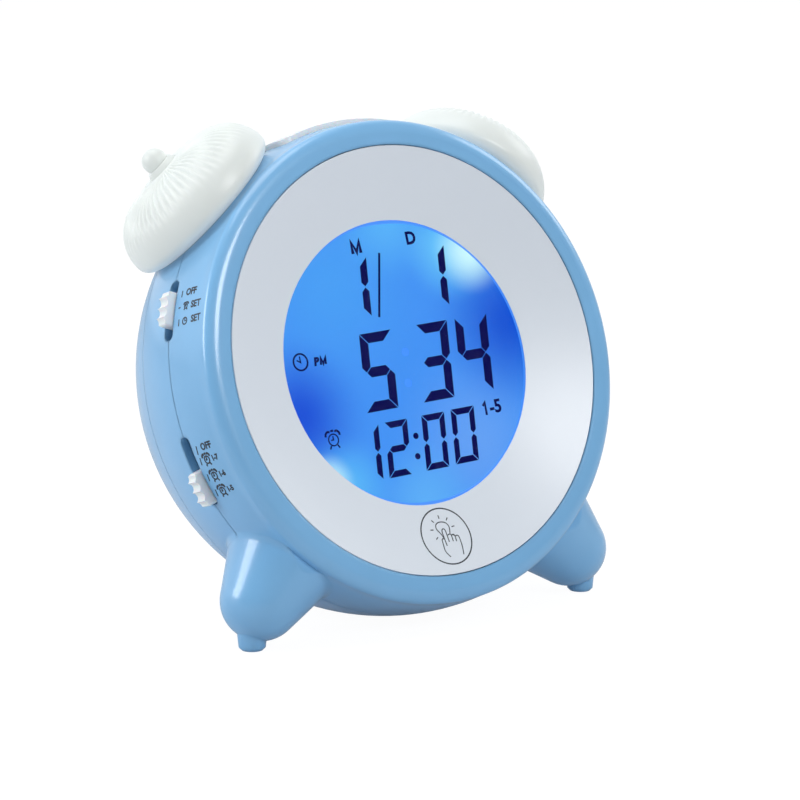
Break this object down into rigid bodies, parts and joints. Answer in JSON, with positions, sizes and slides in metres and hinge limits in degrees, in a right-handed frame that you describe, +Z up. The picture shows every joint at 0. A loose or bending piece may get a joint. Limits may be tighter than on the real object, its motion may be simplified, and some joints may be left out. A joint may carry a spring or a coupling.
{
  "type": "twin-bell alarm clock",
  "caption": "Children's digital alarm clock with glowing twin bells, leaning blue barrel housing, blue segment display, snooze bar, two side slide knobs and stub feet.",
  "frame": {"origin": "on the ground under the centre of the clock's bounding box", "axes": "+Z up, -Y to the side the display faces, X across the clock, +X on the right of someone who reads it"},
  "size_m": [0.1126, 0.0842, 0.1122],
  "materials": {
    "body": "smooth light blue ABS",
    "milky": "translucent milky white",
    "face": "smooth pale grey",
    "white": "smooth white",
    "window": "clear",
    "lcd": "blue backlit segment display",
    "guide": "frosted light guide",
    "inner": "plain white",
    "board": "green circuit board",
    "parts": "dark components",
    "strip": "pink conductive rubber",
    "steel": "plated steel",
    "copper": "bare foil",
    "cell": "plain wrapped battery"
  },
  "bodies": {
    "clock": {"front_shell": "body", "rear_shell": "body", "face_dish": "face", "display_window": "window", "display_glass": "lcd", "display_frame": "inner", "light_guide": "guide", "contact_strips": "strip", "main_board": "board", "board_parts": "parts", "touch_pad": "copper", "touch_spring": "steel", "left_bell": "milky", "right_bell": "milky", "left_bell_base": "milky", "right_bell_base": "milky", "left_bell_ball": "milky", "right_bell_ball": "milky", "bell_lamps": "board", "snooze_board": "board", "snooze_switch": "steel", "time_switch": "steel", "alarm_switch": "steel", "switch_boards": "board", "button_switches": "steel", "button_board": "board", "speaker": "parts", "batteries": "cell", "battery_springs": "steel", "battery_plates": "steel", "case_screws": "steel", "face_screws": "steel", "board_screws": "steel", "small_screws": "steel"},
    "snooze_key": {"snooze_bar": "white"},
    "time_slider": {"time_knob": "white"},
    "alarm_slider": {"alarm_knob": "white"},
    "up_key": {"up_button": "white"},
    "down_key": {"down_button": "white"},
    "battery_cover": {"battery_door": "body"}
  },
  "joints": [
    {"name": "snooze_press", "type": "slide", "parent": "clock", "child": "snooze_key", "axis": [0, -0.3007, -0.9537], "range_m": [0, 0.0008], "stiffness_N_per_m": 900, "springref_m": -0.0008},
    {"name": "time_slide", "type": "slide", "parent": "clock", "child": "time_slider", "axis": [0.3305, 0.2838, 0.9001], "range_m": [-0.0025, 0.0025]},
    {"name": "alarm_slide", "type": "slide", "parent": "clock", "child": "alarm_slider", "axis": [-0.309, 0.286, 0.907], "range_m": [0, 0.0075]},
    {"name": "up_press", "type": "slide", "parent": "clock", "child": "up_key", "axis": [0, -0.9537, 0.3007], "range_m": [0, 0.0006], "stiffness_N_per_m": 700, "springref_m": -0.0006},
    {"name": "down_press", "type": "slide", "parent": "clock", "child": "down_key", "axis": [0, -0.9537, 0.3007], "range_m": [0, 0.0006], "stiffness_N_per_m": 700, "springref_m": -0.0006},
    {"name": "cover_off", "type": "slide", "parent": "clock", "child": "battery_cover", "axis": [0, 0.9537, -0.3007], "range_m": [0, 0.03]}
  ]
}
